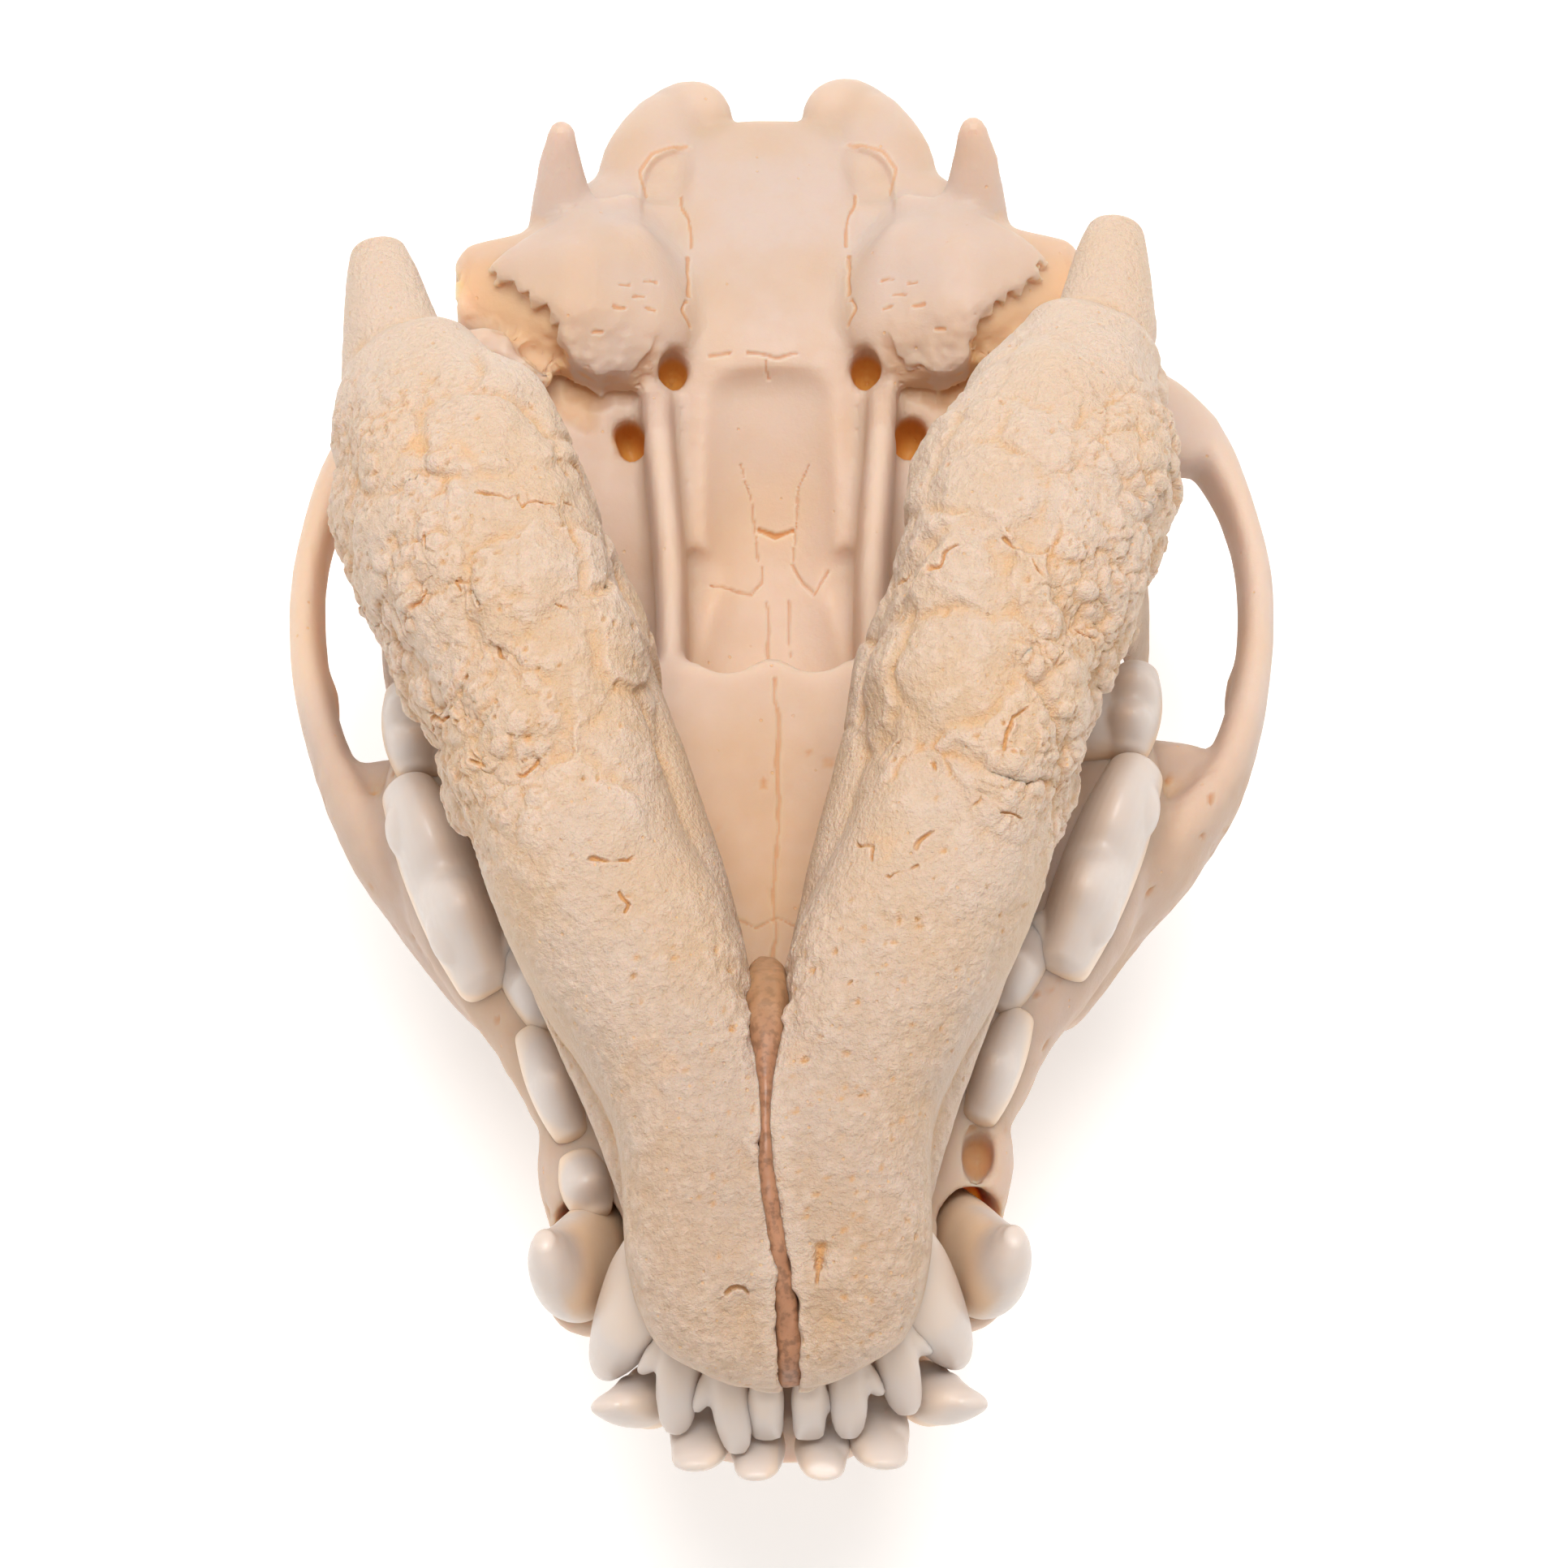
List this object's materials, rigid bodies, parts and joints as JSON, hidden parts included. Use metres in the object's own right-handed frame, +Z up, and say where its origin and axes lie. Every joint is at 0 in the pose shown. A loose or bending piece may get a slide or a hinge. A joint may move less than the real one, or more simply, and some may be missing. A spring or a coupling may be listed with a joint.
{
  "type": "dog skull with lower jaw",
  "caption": "Life-size skull of a small dog with its lower jaw closed, lying on its crown with the underside up; both jaw halves are thickened by rough new bone.",
  "frame": {"origin": "centre of the bounding box at its bottom, on the surface that the crown rests on", "axes": "+Z up out of the floor towards the skull's underside, -Y towards the front teeth, +Y towards the back of the head, -X towards the dog's left side"},
  "size_m": [0.0895, 0.1357, 0.085],
  "materials": {
    "bone": "matte dry cream bone, smooth and slightly translucent where thin",
    "jaw_bone": "matte porous cream bone with rough, cracked and pitted new growth",
    "teeth": "satin cool off-white enamel",
    "fibre": "matte dried brown cartilage"
  },
  "bodies": {
    "root": {"braincase": "bone", "skull_base": "bone", "forehead": "bone", "upper_jaw": "bone", "zygomatic_arch_left": "bone", "zygomatic_arch_right": "bone", "tympanic_bulla_left": "bone", "tympanic_bulla_right": "bone", "mandible_left": "jaw_bone", "mandible_right": "jaw_bone", "symphysis_fibre": "fibre"}
  },
  "joints": []
}
